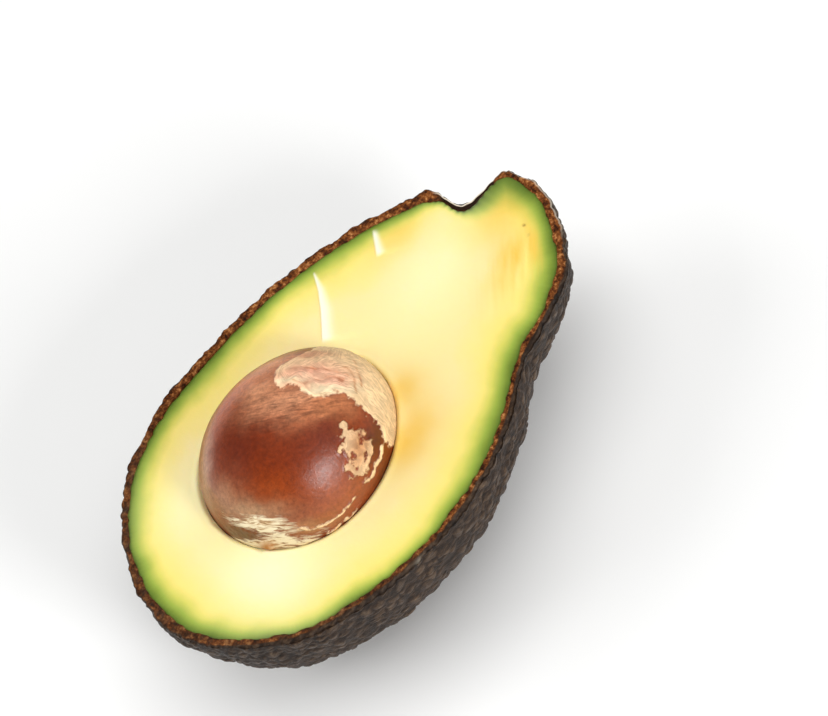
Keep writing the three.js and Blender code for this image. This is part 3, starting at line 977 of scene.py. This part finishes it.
def make_seed(material):
    """The seed: an egg with peeling paper, wrinkles and a frayed end."""
    lower_directions, lower = ring_directions(SEED_RINGS, -1)
    upper_directions, upper = ring_directions(SEED_RINGS, 1)
    rim = 4 * SEED_RINGS  # points on the ring that both halves share
    directions = np.vstack([lower_directions, upper_directions[rim:]])
    upper = np.where(upper >= rim, upper + len(lower_directions) - rim, upper)
    points = seed_surface(directions)
    chart = seed_chart(directions)
    waver = WAVER * np.column_stack([rough_noise(points + k, 1.8) for k in (3, 29)])
    torn = 0.07 * rough_noise(points, 1.5)
    top = inside_shape(chart + waver, PAPER_TOP)
    island = 0.45 * inside_shape(chart + 1.5 * waver, PAPER_ISLAND) + 0.9 * torn
    loose = inside_shape(chart + waver, LOOSE_FLAKE)
    thin = [width - path_distance(chart + waver, on_chart(path)) for path, width in THIN_FLAKES]
    paper = np.max([top, island, loose, *thin], axis=0)
    paper_share = smoothstep(paper, -0.012, 0.012)
    frayed = inside_shape(chart + 1.8 * waver, FRAYED_END) + 0.6 * torn
    frayed_share = smoothstep(frayed, -0.04, 0.05)
    frayed += 0.16 * chart_blob(chart, *THICK_TUFT) - 0.30 * chart_blob(chart, *BARE_HOLLOW)
    scar = chart_blob(chart, *SCAR)
    wrinkled_and_sheen = np.clip(1.4 * chart_blob(chart, *WRINKLES_AND_SHEEN), 0, 1)
    lined = np.column_stack([2.0 * chart[:, 0], 11.0 * chart[:, 1] + 1.5 * chart[:, 0], 0 * chart[:, 0]])
    relief = 0.14 * soft_noise(points, 8.0) + 0.16 * wrinkled_and_sheen * rough_noise(lined, 1.0)
    relief += 0.05 * rough_noise(points, 3.0)
    relief += paper_share * (0.17 + 0.15 * rough_noise(points, 2.2))
    relief += frayed_share * (0.12 + 0.20 * rough_noise(points, 1.1))
    relief += 0.9 * scar * (0.6 + 0.7 * rough_noise(points, 0.8)) + 0.25 * smoothstep(loose, -0.01, 0.02)
    cracks = np.min([path_distance(chart + 1.5 * waver, on_chart(path)) for path in PAPER_CRACKS], axis=0)
    rim_line = np.exp(-(((paper - 0.012) / 0.012) ** 2))
    crack_share = np.exp(-((cracks / CRACK_WIDTH) ** 2)) * np.clip(0.6 + rough_noise(points, 1.2), 0, 1)
    lined_paper = 1 - crack_share[:, None] * CRACK_FADE + 0.16 * rim_line[:, None]
    relief -= 0.08 * paper_share * crack_share
    normals = unit(directions / SEED_RADII)
    clear = smoothstep(points[:, 2], CUT_HEIGHT - 1.2, CUT_HEIGHT + 0.6)
    points = points + normals * (relief * clear)[:, None]
    marks = {
        # the coat's colour, with a painted reflection and a painted sheen in some zones
        "tone": painted(chart + 2 * waver, GROUND, COAT_AND_SHEEN_ZONES),
        "paper_tone": painted(chart + 2 * waver, PAPER_GROUND, PAPER_ZONES) * lined_paper,
        "paper": paper, "frayed": frayed, "scar": scar, "wrinkled_and_sheen": wrinkled_and_sheen,
        "chart_up": chart[:, 1], "chart_right": chart[:, 0],
    }
    build_piece("seed", points, [lower, upper], marks, material, "seed")


# %% [markdown]
# The bare coat is smooth and rather glossy, like a horse chestnut, with fine darker mottling. The dried
# paper on it is matt, and is mixed over the coat by its mark. The mark is a distance, so fine noise added
# to it frays the edge more finely than the mesh could.

# %% Seed material: waxed nut shell with dry paper
SPECK_GRAIN = 1 / 0.0008
TEAR_GRAIN = 1 / 0.0012
FIBRE_COLOURS = ((0.32, "#7a5230"), (0.42, "#c4a075"), (0.52, "#f4e5c2"))
SCAR_COLOUR = "#b87a3a"


def seed_material():
    """Mottled glossy coat, with pale fibres at its frayed end and dry paper where it peels."""
    material, tree = new_material("waxed nut shell and dry paper")
    place = put(tree, COORDINATES)
    tone = put(tree, MARK, attribute_name="tone", out="Color")
    paper_tone = put(tree, MARK, attribute_name="paper_tone", out="Color")
    marks = {name: put(tree, MARK, attribute_name=name)
             for name in ("paper", "frayed", "scar", "wrinkled_and_sheen", "chart_up", "chart_right")}
    speck = put(tree, NOISE, {"Vector": place, "Scale": SPECK_GRAIN, "Detail": 5.0, "Roughness": 0.7})
    tear = put(tree, NOISE, {"Vector": place, "Scale": TEAR_GRAIN, "Detail": 4.0})
    # creases that run along the paper's edge
    along_edge = put(tree, "ShaderNodeCombineXYZ", {"X": marks["paper"], "Y": marks["chart_right"],
                                                    "Z": marks["chart_up"]})
    along_edge = put(tree, MAPPING, {"Vector": along_edge, "Scale": (26.0, 4.0, 4.0)})
    crinkle = put(tree, NOISE, {"Vector": along_edge, "Scale": 1.0, "Detail": 2.0, "Distortion": 0.5})
    crease = put(tree, MATH, {0: crinkle, 1: 0.5}, operation="SUBTRACT")
    crease = put(tree, MATH, {0: crease}, operation="ABSOLUTE")
    crease = put(tree, RANGE, {"Value": crease, "From Max": 0.09})
    # long lines across the seed, for its wrinkles and fibres
    across = put(tree, "ShaderNodeCombineXYZ", {"X": marks["chart_right"], "Y": marks["chart_up"]})
    across = put(tree, MAPPING, {"Vector": across, "Scale": (7.0, 34.0, 1.0)})
    lines = put(tree, NOISE, {"Vector": across, "Scale": 1.0, "Detail": 4.0, "Roughness": 0.6,
                              "Distortion": 1.2})
    # mottled bare coat
    light = put(tree, RANGE, {"Value": speck, "From Min": 0.3, "From Max": 0.7, "To Min": 0.7,
                              "To Max": 1.3})
    shell = put(tree, MIX, {FACTOR: 1.0, A: tone, B: light}, **TINTED)
    # Across the wrinkled band, ridges are painted lighter and furrows darker: painted highlight and painted
    # shade of the wrinkles.
    ridge = put(tree, RANGE, {"Value": lines, "From Min": 0.35, "From Max": 0.68, "To Min": 0.62,
                              "To Max": 1.45})
    painted_ridge_light = put(tree, MIX, {FACTOR: marks["wrinkled_and_sheen"], A: (1, 1, 1, 1), B: ridge}, **BLENDED)
    shell = put(tree, MIX, {FACTOR: 1.0, A: shell, B: painted_ridge_light}, **TINTED)
    # frayed end: pale fibres over brown
    fibres = put(tree, RAMP, {"Fac": lines}, stops=FIBRE_COLOURS)
    frays = put(tree, MATH, {0: lines, 1: 0.34, 2: marks["frayed"]}, operation="MULTIPLY_ADD")
    frays = put(tree, RANGE, {"Value": frays, "From Min": 0.13, "From Max": 0.23})
    colour = put(tree, MIX, {FACTOR: frays, A: shell, B: fibres}, **BLENDED)
    # torn paper
    edge = put(tree, MATH, {0: tear, 1: 0.07, 2: marks["paper"]}, operation="MULTIPLY_ADD")
    edge = put(tree, RANGE, {"Value": edge, "From Min": 0.03, "From Max": 0.042})
    worn = put(tree, RANGE, {"Value": tear, "From Min": 0.35, "From Max": 0.65, "To Min": 0.86,
                             "To Max": 1.1})
    worn = put(tree, MATH, {0: crease, 1: -0.26, 2: worn}, operation="MULTIPLY_ADD")
    worn = put(tree, MATH, {0: worn, 1: 0.17}, operation="ADD")
    paper = put(tree, MIX, {FACTOR: 1.0, A: paper_tone, B: worn}, **TINTED)
    colour = put(tree, MIX, {FACTOR: edge, A: colour, B: paper}, **BLENDED)
    colour = put(tree, MIX, {FACTOR: marks["scar"], A: colour, B: linear(SCAR_COLOUR)}, **BLENDED)
    # gloss and fine relief
    dry = put(tree, MATH, {0: edge, 1: frays}, operation="MAXIMUM")
    rough = put(tree, RANGE, {"Value": dry, "To Min": 0.32, "To Max": 0.7})
    height = put(tree, MATH, {0: speck, 1: 0.35}, operation="MULTIPLY")
    folds = put(tree, MATH, {0: crease, 1: edge}, operation="MULTIPLY")
    for part, share in ((dry, 0.8), (lines, marks["wrinkled_and_sheen"]), (folds, 0.5)):
        height = put(tree, MATH, {0: part, 1: share, 2: height}, operation="MULTIPLY_ADD")
    bump = put(tree, BUMP, {"Strength": 0.6, "Distance": 0.0003, "Height": height})
    surface = put(tree, SURFACE, {"Base Color": colour, "Roughness": rough, "Normal": bump,
                                  "IOR": 1.5, "Specular IOR Level": 0.5})
    put(tree, OUTPUT, {"Surface": surface})
    return material


make_seed(seed_material())

# %% [markdown]
# Product pictures of food are lit by large soft sources from several sides, so that no shadow is hard.
# A pale sky gives the even part. Three softboxes add shape: a broad one overhead, a weaker one on the
# far side that fills the shade behind the seed, and a smaller one low on the near side, whose reflection
# is the soft glow on the seed. The first two are filtered, as photographers do with a polariser: their
# own reflections would lie over the seed's dark brown like a grey veil.

# %% Table
TABLE_SIZE = 6.0  # metres, so wide that no edge shows


def make_table():
    """A white board under the fruit, which belongs to the stage and not to the part."""
    mesh = bpy.data.meshes.new("table")
    half = TABLE_SIZE / 2
    corners = [(-half, -half, 0), (half, -half, 0), (half, half, 0), (-half, half, 0)]
    mesh.from_pydata(corners, [], [(0, 1, 2, 3)])
    material, tree = new_material("matt white board")
    surface = put(tree, SURFACE, {"Base Color": linear("#f6f6f5"), "Roughness": 0.8})
    put(tree, OUTPUT, {"Surface": surface})
    mesh.materials.append(material)
    table = bpy.data.objects.new("table", mesh)
    bpy.context.collection.objects.link(table)


make_table()

# %% Light
SKY_STRENGTH = 0.16
# Each softbox: direction to it, its distance and width in metres, its watts, and whether it is filtered
SOFTBOXES = {
    "key": ((0.14, -0.06, 0.98), 2.4, 2.6, 45.0, True),
    "near side": ((-0.06, -0.88, 0.42), 1.4, 0.42, 11.5, False),
    "far side": ((-0.55, 0.65, 0.50), 2.0, 1.4, 20.0, True),
}


def make_softbox(name, direction, distance, width, watts, filtered):
    """A square area light that looks at the fruit. A filtered one doesn't show in reflections."""
    light = bpy.data.lights.new(name, "AREA")
    light.size = width
    light.energy = watts
    holder = bpy.data.objects.new(name, light)
    holder.visible_glossy = not filtered
    back = Vector(direction).normalized()
    holder.location = back * distance
    holder.rotation_euler = back.to_track_quat("Z", "Y").to_euler()
    bpy.context.collection.objects.link(holder)
    print("softbox", name, "at", [round(place, 2) for place in holder.location], "m")


for name, values in SOFTBOXES.items():
    make_softbox(name, *values)

world = bpy.data.worlds.new("studio")
world.use_nodes = True
sky = world.node_tree.nodes["Background"]
sky.inputs["Color"].default_value = (1, 1, 1, 1)
sky.inputs["Strength"].default_value = SKY_STRENGTH
bpy.context.scene.world = world
bpy.context.scene.view_settings.view_transform = "Standard"
